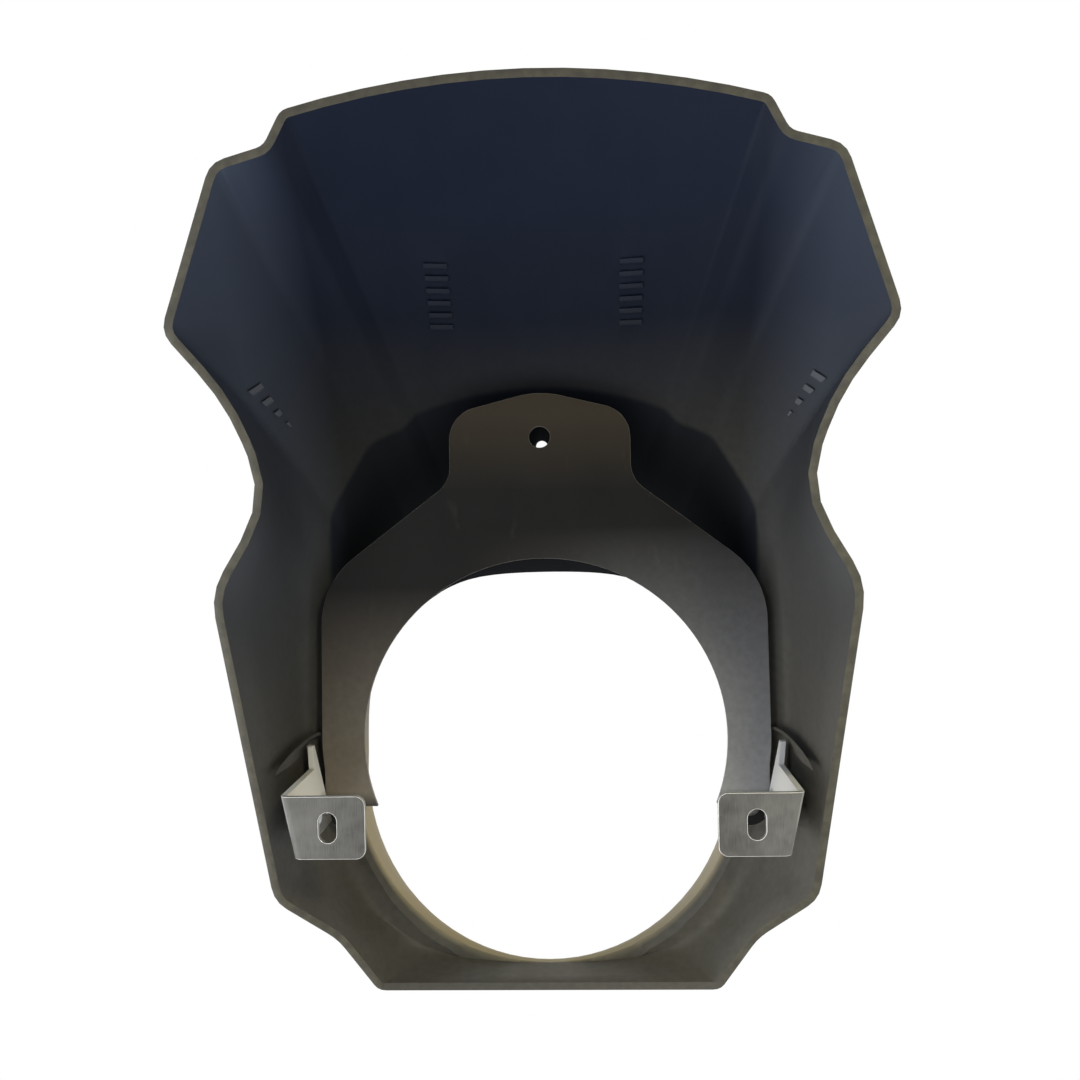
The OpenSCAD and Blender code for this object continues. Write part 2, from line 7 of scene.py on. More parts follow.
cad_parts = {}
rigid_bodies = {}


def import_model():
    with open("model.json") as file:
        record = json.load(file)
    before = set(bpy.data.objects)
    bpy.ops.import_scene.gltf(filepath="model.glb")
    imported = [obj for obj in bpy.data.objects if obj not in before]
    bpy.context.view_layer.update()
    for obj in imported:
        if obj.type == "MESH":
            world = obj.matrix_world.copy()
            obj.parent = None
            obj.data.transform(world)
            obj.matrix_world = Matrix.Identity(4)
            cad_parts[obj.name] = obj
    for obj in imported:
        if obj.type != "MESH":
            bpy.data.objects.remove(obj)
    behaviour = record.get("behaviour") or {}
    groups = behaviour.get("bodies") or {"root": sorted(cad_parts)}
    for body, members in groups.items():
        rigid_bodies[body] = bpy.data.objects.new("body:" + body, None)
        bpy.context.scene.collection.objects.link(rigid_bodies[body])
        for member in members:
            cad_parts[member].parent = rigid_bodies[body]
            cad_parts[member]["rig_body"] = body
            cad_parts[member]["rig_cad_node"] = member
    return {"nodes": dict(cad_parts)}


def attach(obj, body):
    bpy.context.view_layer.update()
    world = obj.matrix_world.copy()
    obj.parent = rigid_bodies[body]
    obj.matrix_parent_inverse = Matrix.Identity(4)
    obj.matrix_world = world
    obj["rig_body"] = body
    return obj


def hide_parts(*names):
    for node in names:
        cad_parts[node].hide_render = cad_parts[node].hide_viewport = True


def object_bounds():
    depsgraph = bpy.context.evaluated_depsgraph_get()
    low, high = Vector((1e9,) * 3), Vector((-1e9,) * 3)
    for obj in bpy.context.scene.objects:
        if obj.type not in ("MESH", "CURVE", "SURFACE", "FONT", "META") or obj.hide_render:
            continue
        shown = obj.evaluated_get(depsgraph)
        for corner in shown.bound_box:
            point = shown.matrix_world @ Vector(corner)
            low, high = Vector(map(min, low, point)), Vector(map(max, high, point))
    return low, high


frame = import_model()
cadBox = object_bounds()
bpy.ops.object.select_all(action="DESELECT")
print("frame loaded:", len(frame["nodes"]), "solids")


# Small helpers for pieces

copySettings = {
    "mergeDistance": 0.000004,
    "flatAngle": 0.4,
}


def makeActive(piece):
    bpy.ops.object.select_all(action="DESELECT")
    piece.select_set(True)
    bpy.context.view_layer.objects.active = piece


def mergedCopy(nodeName, pieceName):
    # The solid's own mesh stays as it is: this works on a copy with its triangles merged
    makeActive(frame["nodes"][nodeName])
    bpy.ops.object.duplicate()
    piece = bpy.context.active_object
    piece.name = pieceName
    piece.data.name = pieceName
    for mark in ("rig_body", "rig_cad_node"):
        del piece[mark]
    bpy.ops.object.parent_clear(type="CLEAR_KEEP_TRANSFORM")
    bpy.ops.mesh.customdata_custom_splitnormals_clear()
    bpy.ops.object.mode_set(mode="EDIT")
    bpy.ops.mesh.select_all(action="SELECT")
    bpy.ops.mesh.remove_doubles(threshold=copySettings["mergeDistance"])
    bpy.ops.object.mode_set(mode="OBJECT")
    return piece


def joinFlats(piece):
    makeActive(piece)
    bpy.ops.object.mode_set(mode="EDIT")
    bpy.ops.mesh.select_all(action="SELECT")
    bpy.ops.mesh.dissolve_limited(angle_limit=math.radians(copySettings["flatAngle"]))
    bpy.ops.object.mode_set(mode="OBJECT")


def roundEdges(piece, width, segments, angle, slotIndex=-1):
    makeActive(piece)
    bpy.ops.object.modifier_add(type="BEVEL")
    bevel = piece.modifiers[-1]
    bevel.material = slotIndex
    bevel.width = width
    bevel.segments = segments
    bevel.limit_method = "ANGLE"
    bevel.angle_limit = math.radians(angle)
    bpy.ops.object.modifier_apply(modifier=bevel.name)


def keepFlats(piece):
    # The rounded edges bend the light, and the large faces beside them stay flat
    makeActive(piece)
    bpy.ops.object.modifier_add(type="WEIGHTED_NORMAL")
    weighting = piece.modifiers[-1]
    weighting.keep_sharp = True
    weighting.weight = 100
    bpy.ops.object.modifier_apply(modifier=weighting.name)


def smoothPiece(piece, angle):
    makeActive(piece)
    bpy.ops.object.shade_smooth_by_angle(angle=math.radians(angle))


def setMaterials(piece, *materials):
    piece.data.materials.clear()
    for material in materials:
        piece.data.materials.append(material)


def finishPiece(piece, nodeName):
    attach(piece, "root")
    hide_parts(nodeName)


# Small helpers for materials: each builds one node and gives back its output

def newMaterial(name):
    material = bpy.data.materials.new(name)
    material.use_nodes = True
    return material, material.node_tree, material.node_tree.nodes["Principled BSDF"]


def setSocket(tree, socket, value):
    if isinstance(value, bpy.types.NodeSocket):
        tree.links.new(value, socket)
    elif isinstance(value, tuple) and socket.type == "RGBA":
        socket.default_value = (*value, 1.0)
    else:
        socket.default_value = value


def addNoise(tree, size, detail=3, stretch=(1, 1, 1), turn=(0, 0, 0)):
    # size is the pattern's own length in metres
    place = tree.nodes.new("ShaderNodeTexCoord")
    mapping = tree.nodes.new("ShaderNodeMapping")
    noise = tree.nodes.new("ShaderNodeTexNoise")
    mapping.inputs["Rotation"].default_value = turn
    mapping.inputs["Scale"].default_value = stretch
    noise.inputs["Scale"].default_value = 1 / size
    noise.inputs["Detail"].default_value = detail
    tree.links.new(place.outputs["Object"], mapping.inputs["Vector"])
    tree.links.new(mapping.outputs["Vector"], noise.inputs["Vector"])
    return noise.outputs["Fac"]


def addRange(tree, value, low, high, outLow=0.0, outHigh=1.0):
    node = tree.nodes.new("ShaderNodeMapRange")
    node.inputs["From Min"].default_value = low
    node.inputs["From Max"].default_value = high
    node.inputs["To Min"].default_value = outLow
    node.inputs["To Max"].default_value = outHigh
    tree.links.new(value, node.inputs["Value"])
    return node.outputs["Result"]


def addPlace(tree, axis, none, full, outLow=0.0, outHigh=1.0):
    # The low value at the first place along an axis and the high one at the second, in metres
    place = tree.nodes.new("ShaderNodeTexCoord")
    parts = tree.nodes.new("ShaderNodeSeparateXYZ")
    tree.links.new(place.outputs["Object"], parts.inputs["Vector"])
    return addRange(tree, parts.outputs[axis], none, full, outLow, outHigh)


def addSidePlace(tree, side, widths, outLow=0.0, outHigh=1.0):
    # The same for two widths from the middle, on the left side at -1 and on the right one at 1
    return addPlace(tree, "X", side * widths[0], side * widths[1], outLow, outHigh)


def addMix(tree, factor, first, second):
    node = tree.nodes.new("ShaderNodeMix")
    node.data_type = "RGBA"
    colours = [socket for socket in node.inputs if socket.type == "RGBA"]
    setSocket(tree, node.inputs["Factor"], factor)
    setSocket(tree, colours[0], first)
    setSocket(tree, colours[1], second)
    return [socket for socket in node.outputs if socket.type == "RGBA"][0]


def addMath(tree, operation, first, second):
    node = tree.nodes.new("ShaderNodeMath")
    node.operation = operation
    setSocket(tree, node.inputs[0], first)
    setSocket(tree, node.inputs[1], second)
    return node.outputs["Value"]


def addSeenRays(tree):
    # One for the camera's rays and for those that a gloss or a clear piece sends on, else nothing
    path = tree.nodes.new("ShaderNodeLightPath")
    seen = path.outputs["Is Camera Ray"]
    for kind in ("Is Glossy Ray", "Is Transmission Ray"):
        seen = addMath(tree, "MAXIMUM", seen, path.outputs[kind])
    return seen


def addBump(tree, height, strength, distance, under=None):
    node = tree.nodes.new("ShaderNodeBump")
    node.inputs["Strength"].default_value = strength
    node.inputs["Distance"].default_value = distance
    tree.links.new(height, node.inputs["Height"])
    if under is not None:
        tree.links.new(under, node.inputs["Normal"])
    return node.outputs["Normal"]


# Materials

shellLook = {
    # Painted shade: darkest at 0.12 m and below, fading to the bluish black by 0.2 m
    "paintedShade": (0.0015, 0.0018, 0.0026),
    "paintedShadeHeight": (0.12, 0.2),
    # The blue tint of this near-black and of the gloss is painted cool light
    "dark": (0.0045, 0.0078, 0.0200),
    "light": (0.0066, 0.0105, 0.0245),
    "cloudSize": 0.045,
    "streakSize": 0.012,
    # Painted light: a warm grainy film that thickens downwards and towards the right, kept out of the
    # tunnel
    "paintedLowLight": (0.165, 0.155, 0.13),
    "paintedLightGrain": 0.003,
    "paintedLowLightHeight": (0.165, -0.01),
    "paintedLightWidth": (-0.08, 0.08),
    "paintedLowLightShare": (0.44, 0.68),
    # Painted light: a bluish-grey film on the flared sides, stronger at the left and above 0.08 m
    "side": (0.11, 0.135, 0.19),
    "paintedSideLightWidth": (0.08, 0.105),
    "paintedSideLightShare": (0.42, 0.32),
    "paintedSideLightHeight": (0.01, 0.08),
    "paintedSideLightLow": 0.35,
    # Painted highlight on the rib faces, stronger on the flared sides
    "rib": (0.20, 0.21, 0.23),
    "ribHighlightWidth": (0.05, 0.085),
    "ribHighlightShare": (0.05, 0.45),
    # Painted reflection: a tan band on the tunnel's lip, stronger lower down
    "paintedLipLight": (0.40, 0.345, 0.235),
    "lipStart": (0.0078, 0.0092),
    "paintedLipLightHeight": (0.045, -0.03),
    "rough": (0.44, 0.58),
    "gloss": 0.14,
    "paintedCoolGlossTint": (0.82, 0.9, 1.0, 1.0),
    "grain": 0.0006,
    "grainDepth": 0.00008,
    "flow": 0.02,
    "flowDepth": 0.0006,
}


def makeShellPlastic(name, ribbed=False):
    # Near-black with a painted cool blue tint and painted shade below 0.2 m, a bluish-grey painted light on
    # the flared sides, a warm grainy painted light that thickens downwards and a tan painted reflection on
    # the tunnel's lip
    material, tree, surface = newMaterial(name)
    clouds = addNoise(tree, shellLook["cloudSize"], detail=4)
    streaks = addNoise(tree, shellLook["streakSize"], detail=3, stretch=(1, 0.25, 0.25))
    # Near-black in clouds; its blue tint is painted cool light
    colour = addMix(tree, addRange(tree, clouds, 0.35, 0.65), shellLook["dark"], shellLook["light"])
    # Painted shade: the plastic is darkest at 0.12 m and below and turns to the bluish black by 0.2 m
    colour = addMix(tree, addPlace(tree, "Z", *shellLook["paintedShadeHeight"]), shellLook["paintedShade"], colour)
    # Painted light on the flared sides, lighter towards the outside and weaker below 0.08 m
    leftward, rightward = [addSidePlace(tree, side, shellLook["paintedSideLightWidth"], 0.0, share)
                           for side, share in zip((-1, 1), shellLook["paintedSideLightShare"])]
    paintedLightFilm = addMath(tree, "MULTIPLY", addMath(tree, "MAXIMUM", leftward, rightward),
                   addPlace(tree, "Z", *shellLook["paintedSideLightHeight"], shellLook["paintedSideLightLow"]))
    colour = addMix(tree, paintedLightFilm, colour, shellLook["side"])
    # Painted light, warm and grainy, stronger lower down and towards the right
    low = addMath(tree, "MULTIPLY", addPlace(tree, "Z", *shellLook["paintedLowLightHeight"]),
                  addPlace(tree, "X", *shellLook["paintedLightWidth"], *shellLook["paintedLowLightShare"]))
    grains = addRange(tree, addNoise(tree, shellLook["paintedLightGrain"], detail=8), 0.3, 0.75, 0.88, 1.12)
    tunnel = addPlace(tree, "Y", *shellLook["lipStart"])
    low = addMath(tree, "MULTIPLY", low, addMath(tree, "SUBTRACT", 1.0, tunnel))
    colour = addMix(tree, addMath(tree, "MULTIPLY", low, grains), colour, shellLook["paintedLowLight"])
    # Painted reflection on the tunnel's lip, stronger lower down
    paintedLipLight = addMath(tree, "MULTIPLY", tunnel, addPlace(tree, "Z", *shellLook["paintedLipLightHeight"]))
    colour = addMix(tree, paintedLipLight, colour, shellLook["paintedLipLight"])
    # Painted highlight: the rib faces are pale grey, more so towards the outer sides
    if ribbed:
        shares = [addSidePlace(tree, side, shellLook["ribHighlightWidth"], *shellLook["ribHighlightShare"])
                  for side in (-1, 1)]
        colour = addMix(tree, addMath(tree, "MAXIMUM", *shares), colour, shellLook["rib"])
    setSocket(tree, surface.inputs["Base Color"], colour)
    setSocket(tree, surface.inputs["Roughness"], addRange(tree, streaks, 0.3, 0.7, *shellLook["rough"]))
    surface.inputs["Specular IOR Level"].default_value = shellLook["gloss"]
    # Painted cool light: the gloss is tinted blue
    surface.inputs["Specular Tint"].default_value = shellLook["paintedCoolGlossTint"]
    flow = addBump(tree, addNoise(tree, shellLook["flow"], detail=2), 0.12, shellLook["flowDepth"])
    grain = addNoise(tree, shellLook["grain"], detail=2)
    setSocket(tree, surface.inputs["Normal"], addBump(tree, grain, 0.18, shellLook["grainDepth"], flow))
    return material


edgeLook = {
    # Painted light: the rim's cut edge is olive-tan in patches, many times lighter than the black plastic
    "dark": (0.04675, 0.0429, 0.0286),
    "light": (0.085, 0.078, 0.052),
    "rough": 0.5,
    "edgeLightPatchSize": 0.004,
    "scratchSize": 0.0015,
    "scratchDepth": 0.0001,
}


outerLook = {
    "dark": (0.018, 0.019, 0.022),
    "light": (0.024, 0.025, 0.028),
    "cloudSize": 0.03,
    "rough": (0.36, 0.46),
    "gloss": 0.3,
    "grain": 0.0006,
    "grainDepth": 0.00008,
}


def makeOuterPlastic():
    # The clean outer side
    material, tree, surface = newMaterial("clean black plastic")
    clouds = addNoise(tree, outerLook["cloudSize"], detail=4)
    setSocket(tree, surface.inputs["Base Color"],
              addMix(tree, addRange(tree, clouds, 0.35, 0.65), outerLook["dark"], outerLook["light"]))
    setSocket(tree, surface.inputs["Roughness"], addRange(tree, clouds, 0.3, 0.7, *outerLook["rough"]))
    surface.inputs["Specular IOR Level"].default_value = outerLook["gloss"]
    grain = addNoise(tree, outerLook["grain"], detail=2)
    setSocket(tree, surface.inputs["Normal"], addBump(tree, grain, 0.18, outerLook["grainDepth"]))
    return material


def makeShellEdge():
    material, tree, surface = newMaterial("plastic edge with painted light")
    # Painted light on the cut edge, in patches
    edgeLightPatches = addNoise(tree, edgeLook["edgeLightPatchSize"], detail=5)
    setSocket(tree, surface.inputs["Base Color"],
              addMix(tree, addRange(tree, edgeLightPatches, 0.35, 0.65), edgeLook["dark"], edgeLook["light"]))
    surface.inputs["Roughness"].default_value = edgeLook["rough"]
    scratches = addNoise(tree, edgeLook["scratchSize"])
    setSocket(tree, surface.inputs["Normal"], addBump(tree, scratches, 0.25, edgeLook["scratchDepth"]))
    return material


plateLook = {
    "dark": (0.0055, 0.0053, 0.0051),
    "light": (0.0090, 0.0086, 0.0082),
    "cloudSize": 0.03,
    # Painted light: the tab above 0.1 m is warmer and lighter
    "warm": (0.075, 0.058, 0.036),
    "paintedTabLightHeight": (0.1, 0.13),
    "paintedTabLightShare": 0.5,
    # Painted reflection on the lower legs: warm at the left, grey at the right
    "paintedReflectionLeft": (0.27, 0.235, 0.19),
    "paintedReflectionRight": (0.35, 0.35, 0.355),
    "paintedReflectionTop": (0.062, 0.085),
    "paintedReflectionFloor": -0.03,
    "paintedReflectionEnd": (-0.027, -0.02),
    "paintedLightWidth": (-0.03, 0.03),
    "paintedLightGrain": 0.003,
    "rub": (0.11, 0.10, 0.08),
    "rubSize": 0.008,
    # Painted highlight on the plate's rounded edges
    "paintedEdgeHighlight": (0.20, 0.185, 0.155),
    "paintedEdgeHighlightSize": 0.006,
    "rough": (0.32, 0.44),
    "gloss": 0.12,
    "peel": 0.0022,
    "peelDepth": 0.0001,
}


def makePlatePaint():
    material, tree, surface = newMaterial("satin black paint")
    clouds = addNoise(tree, plateLook["cloudSize"], detail=4)
    colour = addMix(tree, addRange(tree, clouds, 0.35, 0.65), plateLook["dark"], plateLook["light"])
    rubs = addNoise(tree, plateLook["rubSize"], detail=6, stretch=(1, 1, 0.4))
    rubs = addRange(tree, rubs, 0.62, 0.8, 0, 0.2)
    # Painted reflection, stronger down the legs and ending below -0.027 m
    reflectionLowLeft, reflectionLowRight = [addPlace(tree, "Z", top, plateLook["paintedReflectionFloor"]) for top in plateLook["paintedReflectionTop"]]
    leftward, rightward = [addSidePlace(tree, side, plateLook["paintedLightWidth"]) for side in (-1, 1)]
    low = addMath(tree, "ADD", addMath(tree, "MULTIPLY", reflectionLowLeft, leftward),
                  addMath(tree, "MULTIPLY", reflectionLowRight, rightward))
    grains = addRange(tree, addNoise(tree, plateLook["paintedLightGrain"], detail=8), 0.3, 0.75, 0.8, 1.0)
    # Painted light on the tab, warm, above 0.1 m
    paintedTabLight = addMath(tree, "MULTIPLY", addPlace(tree, "Z", *plateLook["paintedTabLightHeight"]), plateLook["paintedTabLightShare"])
    colour = addMix(tree, rubs, addMix(tree, paintedTabLight, colour, plateLook["warm"]), plateLook["rub"])
    low = addMath(tree, "MULTIPLY", low, addPlace(tree, "Z", *plateLook["paintedReflectionEnd"]))
    # Painted reflection: warm on the left leg, grey on the right one
    paintedLightFilm = addMix(tree, rightward, plateLook["paintedReflectionLeft"], plateLook["paintedReflectionRight"])
    colour = addMix(tree, addMath(tree, "MULTIPLY", low, grains), colour, paintedLightFilm)
    setSocket(tree, surface.inputs["Base Color"], colour)
    surface.inputs["Specular IOR Level"].default_value = plateLook["gloss"]
    setSocket(tree, surface.inputs["Roughness"], addRange(tree, clouds, 0.3, 0.7, *plateLook["rough"]))
    peel = addNoise(tree, plateLook["peel"], detail=2)
    setSocket(tree, surface.inputs["Normal"], addBump(tree, peel, 0.16, plateLook["peelDepth"]))
    return material


def makePlateEdgeHighlight():
    # Painted highlight: the plate's rounded edges are far lighter than its paint, in patches
    material, tree, surface = newMaterial("paint edge with painted highlight")
    edgeLightPatches = addNoise(tree, plateLook["paintedEdgeHighlightSize"], detail=5)
    setSocket(tree, surface.inputs["Base Color"],
              addMix(tree, addRange(tree, edgeLightPatches, 0.35, 0.6), plateLook["rub"], plateLook["paintedEdgeHighlight"]))
    surface.inputs["Roughness"].default_value = 0.38
    return material


steelLook = {
    # Painted light: the flange is lighter towards the outside and the leg is near-white
    "dark": (0.052, 0.050, 0.046),
    "light": (0.185, 0.182, 0.170),
    "paintedLitSteel": (0.93, 0.92, 0.89),
    "paintedLightSideWidth": (0.062, 0.093),
    "legDepth": (-0.0545, -0.051),
    "legHeight": (-0.024, -0.018),
    "metal": 0.15,
    "rough": (0.42, 0.58),
    "brushLength": 0.00035,
    "brushDepth": 0.00006,
    "cloudSize": 0.007,
}


def makeBracketSteel():
    material, tree, surface = newMaterial("bare bracket sheet with painted light")
    brush = addNoise(tree, steelLook["brushLength"], detail=3, stretch=(1, 1, 0.06))
    clouds = addNoise(tree, steelLook["cloudSize"], detail=5)
    both = addMath(tree, "ADD", addMath(tree, "MULTIPLY", brush, 0.35),
                   addMath(tree, "MULTIPLY", clouds, 0.65))
    # Painted light on the outer halves of the flanges
    paintedLitSides = [addSidePlace(tree, side, steelLook["paintedLightSideWidth"]) for side in (1, -1)]
    share = addMath(tree, "ADD", addMath(tree, "MULTIPLY", addRange(tree, both, 0.35, 0.62), 0.5),
                    addMath(tree, "MULTIPLY", addMath(tree, "MAXIMUM", *paintedLitSides), 0.5))
    flange = addMix(tree, share, steelLook["dark"], steelLook["light"])
    # Painted light: the leg is near-white and less metallic than the flange
    paintedLitLeg = addMath(tree, "MULTIPLY", addPlace(tree, "Y", *steelLook["legDepth"]),
                  addPlace(tree, "Z", *steelLook["legHeight"]))
    setSocket(tree, surface.inputs["Base Color"], addMix(tree, paintedLitLeg, flange, steelLook["paintedLitSteel"]))
    setSocket(tree, surface.inputs["Metallic"], addRange(tree, paintedLitLeg, 0.0, 1.0, steelLook["metal"], 0.0))
    setSocket(tree, surface.inputs["Roughness"], addRange(tree, clouds, 0.3, 0.7, *steelLook["rough"]))
    setSocket(tree, surface.inputs["Normal"], addBump(tree, brush, 0.2, steelLook["brushDepth"]))
    return material


def makePaintedHighlightEdge():
    # Painted highlight: the bracket's rounded edges are near-white
    material, tree, surface = newMaterial("sheet edge with painted highlight")
    setSocket(tree, surface.inputs["Base Color"], steelLook["paintedLitSteel"])
    surface.inputs["Metallic"].default_value = 0.5
    surface.inputs["Roughness"].default_value = 0.35
    setSocket(tree, surface.inputs["Normal"], addBump(tree, addNoise(tree, 0.001), 0.15, 0.00005))
    return material


def makeScrewZinc():
    material, tree, surface = newMaterial("zinc plated steel")
    clouds = addNoise(tree, 0.002, detail=4)
    setSocket(tree, surface.inputs["Base Color"],
              addMix(tree, addRange(tree, clouds, 0.35, 0.65), (0.3, 0.3, 0.31), (0.55, 0.56, 0.57)))
    surface.inputs["Metallic"].default_value = 1.0
    surface.inputs["Roughness"].default_value = 0.32
    setSocket(tree, surface.inputs["Normal"], addBump(tree, clouds, 0.1, 0.00005))
    return material


shellPlastic = makeShellPlastic("moulded black plastic")
ribHighlightPlastic = makeShellPlastic("plastic rib with painted highlight", ribbed=True)
outerPlastic = makeOuterPlastic()
shellEdge = makeShellEdge()
platePaint = makePlatePaint()
plateEdgeHighlight = makePlateEdgeHighlight()
bracketSteel = makeBracketSteel()
paintedHighlightEdge = makePaintedHighlightEdge()
screwZinc = makeScrewZinc()
print("materials ready:", len(bpy.data.materials))


# The moulded shell

shell = {
    "edgeRound": 0.0005,
    "edgeSegments": 2,
    "edgeAngle": 48,
    "smoothAngle": 30,
    "rimTurn": 35,
    "inside": (0, -0.04, 0.04),
    "outerShare": 0.05,
    "backTurn": -0.3,
    "tunnelStart": 0.0075,
    "tunnelTop": 0.045,
    "tunnelMiddle": -0.01,
    "rayStart": 0.00002,
    "rayLength": 0.03,
    "panelRibs": {"at": (0.0364, 0.1633), "turn": 0, "step": (0, 0.004), "count": 6,
                  "half": (0.0043, 0.00075)},
    "flareRibs": {"at": (0.0933, 0.1284), "turn": 50, "step": (0.0046, 0), "count": 4,
                  "half": (0.00075, 0.0032)},
    "ribSlack": 0.00006,
    "cornerSlack": 0.0005,
}


def wallAhead(piece, face, direction):
    start = face.center + direction * shell["rayStart"]
    return piece.ray_cast(start, direction, distance=shell["rayLength"])[0]


def looksOut(piece, face):
    # Away from a point inside the cowl and with no wall ahead, as there is beside a boss.
    # The groove round the tunnel counts too, where the tunnel's wall stands between a face and the middle
    if face.material_index or face.normal.y < shell["backTurn"]:
        return False
    outward = face.normal.dot((face.center - Vector(shell["inside"])).normalized()) > shell["outerShare"]
    if face.center.y < shell["tunnelStart"]:
        return outward and not wallAhead(piece, face, face.normal)
    middle = Vector((0, face.center.y, shell["tunnelMiddle"]))
    inward = (middle - face.center).normalized()
    inGroove = face.normal.y > 0 and face.center.z < shell["tunnelTop"]
    return outward or (inGroove and wallAhead(piece, face, inward))


def markOuter(piece):
    # The faces of the outer side get the fourth material
    makeActive(piece)
    bpy.ops.object.mode_set(mode="EDIT")
    bpy.ops.mesh.select_mode(type="FACE")
    bpy.ops.mesh.select_all(action="DESELECT")
    bpy.ops.object.mode_set(mode="OBJECT")
    bpy.context.view_layer.update()
    outer = [looksOut(piece, face) for face in piece.data.polygons]
    for face, chosen in zip(piece.data.polygons, outer):
        face.select = chosen
    print("outer faces:", sum(outer))
    bpy.ops.object.mode_set(mode="EDIT")
    piece.active_material_index = 3
    bpy.ops.object.material_slot_assign()
    bpy.ops.object.mode_set(mode="OBJECT")


def markRim(piece):
    # The trimmed rear edge gets the second material, which paints light on it: the band of faces that runs
    # on from the topmost one
    backward = [face for face in piece.data.polygons if face.normal.y < -0.4]
    top = max(backward, key=lambda face: face.center.z).index
    makeActive(piece)
    bpy.ops.object.mode_set(mode="EDIT")
    bpy.ops.mesh.select_mode(type="FACE")
    bpy.ops.mesh.select_all(action="DESELECT")
    bpy.ops.object.mode_set(mode="OBJECT")
    piece.data.polygons[top].select = True
    bpy.ops.object.mode_set(mode="EDIT")
    bpy.ops.mesh.faces_select_linked_flat(sharpness=math.radians(shell["rimTurn"]))
    piece.active_material_index = 1
    bpy.ops.object.material_slot_assign()
    bpy.ops.object.mode_set(mode="OBJECT")


def onRibs(ribs, x, z, slack):
    turn = math.radians(ribs["turn"])
    across, along = x - ribs["at"][0], z - ribs["at"][1]
    u = across * math.cos(turn) + along * math.sin(turn)
    v = along * math.cos(turn) - across * math.sin(turn)
    return any(abs(u - rib * ribs["step"][0]) < ribs["half"][0] + slack
               and abs(v - rib * ribs["step"][1]) < ribs["half"][1] + slack for rib in range(ribs["count"]))


def markRibs(piece):
    # The faces of the moulded ribs, on the shell's inner side, get the third material, which paints a
    # highlight on them
    makeActive(piece)
    bpy.ops.object.mode_set(mode="EDIT")
    bpy.ops.mesh.select_mode(type="FACE")
    bpy.ops.mesh.select_all(action="DESELECT")
    bpy.ops.object.mode_set(mode="OBJECT")
    points = [vertex.co for vertex in piece.data.vertices]
    for face in piece.data.polygons:
        spots = [(abs(points[index].x), points[index].z) for index in face.vertices]
        ribbed = any(onRibs(shell[ribs], abs(face.center.x), face.center.z, shell["ribSlack"])
                     and all(onRibs(shell[ribs], x, z, shell["cornerSlack"]) for x, z in spots)
                     for ribs in ("panelRibs", "flareRibs"))
        face.select = face.normal.y < 0.25 and face.center.y < 0.0 and ribbed
    print("rib faces:", sum(face.select for face in piece.data.polygons))
    bpy.ops.object.mode_set(mode="EDIT")
    piece.active_material_index = 2
    bpy.ops.object.material_slot_assign()
    bpy.ops.object.mode_set(mode="OBJECT")


def makeShell():
    piece = mergedCopy("cowl_shell", "cowlShell")
    setMaterials(piece, shellPlastic, shellEdge, ribHighlightPlastic, outerPlastic)
    markRim(piece)
    markRibs(piece)
    roundEdges(piece, shell["edgeRound"], shell["edgeSegments"], shell["edgeAngle"])
    markOuter(piece)
    smoothPiece(piece, shell["smoothAngle"])
    finishPiece(piece, "cowl_shell")
    return piece


cowlShell = makeShell()
print("shell done:", len(cowlShell.data.polygons), "faces")


# The ring plate

plate = {
    "edgeRound": 0.0006,
    "edgeSegments": 3,
    "edgeAngle": 40,
    "smoothAngle": 50,
}


def makePlate():
    piece = mergedCopy("ring_plate", "ringPlate")
    joinFlats(piece)
    setMaterials(piece, platePaint, plateEdgeHighlight)
    roundEdges(piece, plate["edgeRound"], plate["edgeSegments"], plate["edgeAngle"], 1)
    smoothPiece(piece, plate["smoothAngle"])
    keepFlats(piece)
    finishPiece(piece, "ring_plate")
    return piece


ringPlate = makePlate()
print("ring plate done")


# The two brackets

bracket = {
    "edgeRound": 0.00055,
    "edgeSegments": 3,
    "edgeAngle": 40,
    "smoothAngle": 50,
}


def makeBracket(side):
    piece = mergedCopy(side + "_bracket", side + "Bracket")
    joinFlats(piece)
    setMaterials(piece, bracketSteel, paintedHighlightEdge)
    roundEdges(piece, bracket["edgeRound"], bracket["edgeSegments"], bracket["edgeAngle"], 1)
    smoothPiece(piece, bracket["smoothAngle"])
    keepFlats(piece)
    finishPiece(piece, side + "_bracket")
    return piece


for side in ("left", "right"):
    makeBracket(side)
print("brackets done")


# The screws

for name in sorted(frame["nodes"]):
    if "screw" in name:
        frame["nodes"][name].data.materials.clear()
        frame["nodes"][name].data.materials.append(screwZinc)
print("screws done")


# Floor, backdrop light and lamps

stageLook = {
    "floorDrop": 0.35,
    "floorSize": 16.0,
    "floorLeft": 2.85,
    "floorRight": 1.4,
    "floorAhead": 0.12,
    "ambient": (0.045, 0.05, 0.07),
    "aheadLeft": (3.1, 2.95, 2.4),
    "aheadRight": (2.6, 2.25, 1.55),
}


def makeFloor():
    # White where it is seen; for the light it glows behind the part, at the left more than at the right
    bpy.ops.mesh.primitive_plane_add(size=stageLook["floorSize"],
                                     location=(0, 0, cadBox[0].z - stageLook["floorDrop"]))
    floor = bpy.context.active_object
    floor.name = "floor"
    material, tree, surface = newMaterial("pale floor")
    glow = tree.nodes.new("ShaderNodeEmission")
    ahead = addPlace(tree, "Y", -0.1, 0.2)
    left = addPlace(tree, "X", -0.1, -0.5, 0.0, stageLook["floorLeft"])
    right = addPlace(tree, "X", 0.1, 0.5, 0.0, stageLook["floorRight"])
    behind = addMath(tree, "MULTIPLY", addMath(tree, "SUBTRACT", 1.0, ahead),
                     addMath(tree, "ADD", left, right))
    light = addMath(tree, "MAXIMUM", behind, stageLook["floorAhead"])
    setSocket(tree, glow.inputs["Strength"], addMath(tree, "MAXIMUM", addSeenRays(tree), light))
    tree.links.new(glow.outputs["Emission"], tree.nodes["Material Output"].inputs["Surface"])
    floor.data.materials.append(material)


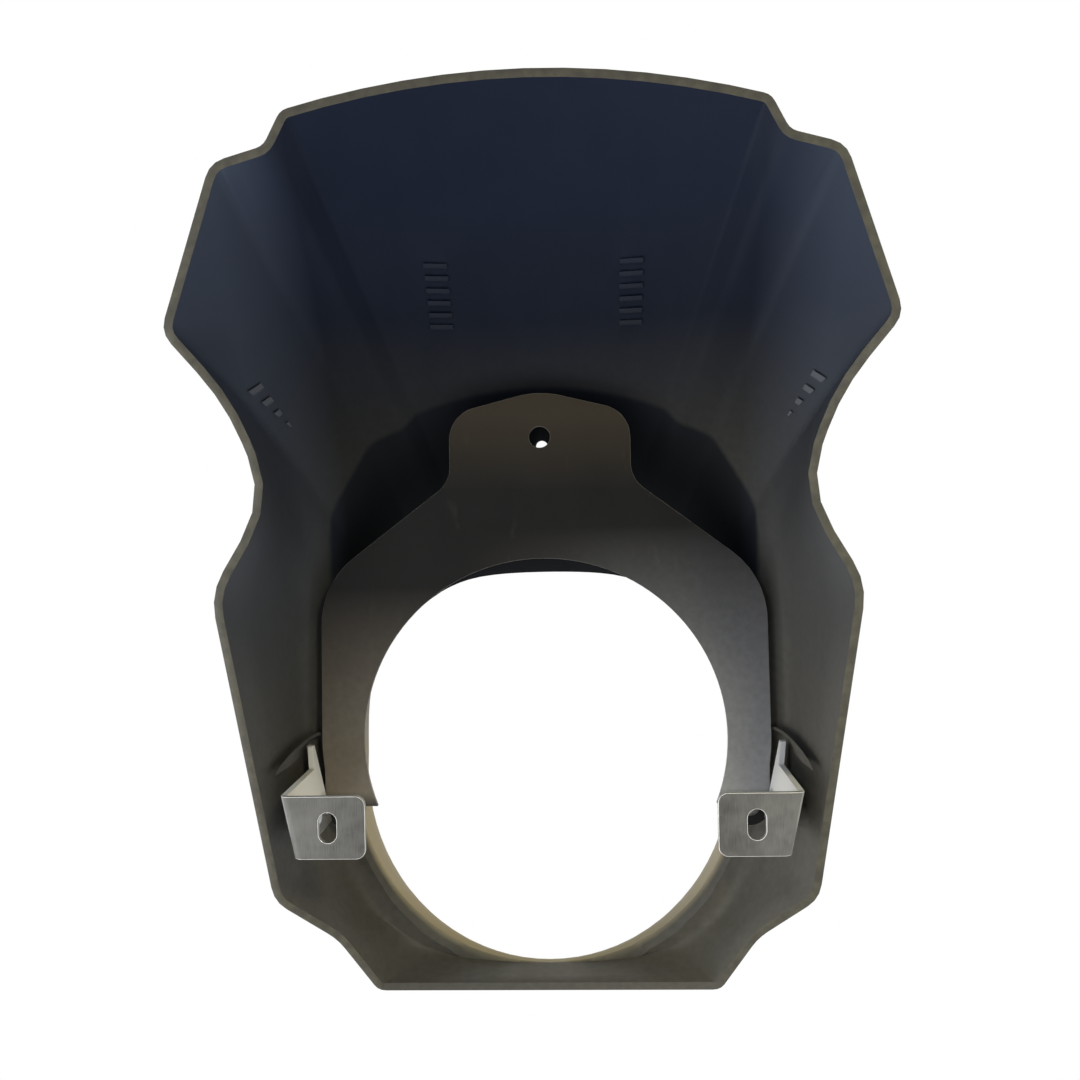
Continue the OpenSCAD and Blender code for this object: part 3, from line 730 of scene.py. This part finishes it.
def makeWorld():
    # White where it is seen; for the light it is dim, but bright and warm ahead above the floor
    world = bpy.data.worlds.new("studio")
    bpy.context.scene.world = world
    world.use_nodes = True
    tree = world.node_tree
    background = tree.nodes["Background"]
    place = tree.nodes.new("ShaderNodeTexCoord")
    parts = tree.nodes.new("ShaderNodeSeparateXYZ")
    tree.links.new(place.outputs["Generated"], parts.inputs["Vector"])
    warm = addMix(tree, addRange(tree, parts.outputs["X"], -0.5, 0.5),
                  stageLook["aheadLeft"], stageLook["aheadRight"])
    level = addMath(tree, "MULTIPLY", addRange(tree, parts.outputs["Z"], -0.15, 0.1),
                    addRange(tree, parts.outputs["Z"], 0.42, 0.2))
    ahead = addMath(tree, "MULTIPLY", addRange(tree, parts.outputs["Y"], 0.05, 0.4), level)
    light = addMix(tree, ahead, stageLook["ambient"], warm)
    setSocket(tree, background.inputs["Color"], addMix(tree, addSeenRays(tree), light, (1.0, 1.0, 1.0)))


lampLook = {
    "cone": 24,
    "blend": 1.0,
    "softness": 0.12,
    "aim": (0, 0, -0.085),
}
lamps = {
    "leftSpot": {"place": (-0.45, -0.75, 0.5), "power": 10.5, "colour": (0.80, 0.90, 1.0)},
    "rightSpot": {"place": (0.45, -0.75, 0.5), "power": 18.0, "colour": (1.0, 0.93, 0.60)},
}


def makeLamps():
    for name, lamp in lamps.items():
        bpy.ops.object.light_add(type="SPOT", location=lamp["place"])
        light = bpy.context.active_object
        light.name = name
        light.data.spot_size = math.radians(lampLook["cone"])
        light.data.spot_blend = lampLook["blend"]
        light.data.shadow_soft_size = lampLook["softness"]
        light.data.energy = lamp["power"]
        light.data.color = lamp["colour"]
        aim = Vector(lampLook["aim"]) - light.location
        light.rotation_euler = aim.to_track_quat("-Z", "Y").to_euler()


# The photograph's viewpoint: turn, tilt and roll in degrees, the lens for a 36 mm sensor

camera = {
    "place": (0.0183, -0.465, 0.0922),
    "turn": 2.32,
    "tilt": -1.5,
    "roll": 1.09,
    "lens": 39.0,
}


def makeCamera():
    bpy.ops.object.camera_add(location=camera["place"])
    eye = bpy.context.active_object
    eye.name = "viewpoint"
    turned = (Matrix.Rotation(math.radians(camera["turn"]), 3, "Z")
              @ Matrix.Rotation(math.radians(camera["tilt"]), 3, "X")
              @ Matrix.Rotation(math.radians(camera["roll"]), 3, "Y"))
    right, ahead, up = turned.col[0], turned.col[1], turned.col[2]
    basis = Matrix((right, up, -ahead)).transposed()
    eye.rotation_euler = basis.to_euler()
    eye.data.lens = camera["lens"]
    eye.data.sensor_width = 36
    eye.data.clip_start = 0.01
    bpy.context.scene.camera = eye


makeFloor()
makeWorld()
makeLamps()
makeCamera()
bpy.context.scene.view_settings.view_transform = "Standard"
print("stage ready")
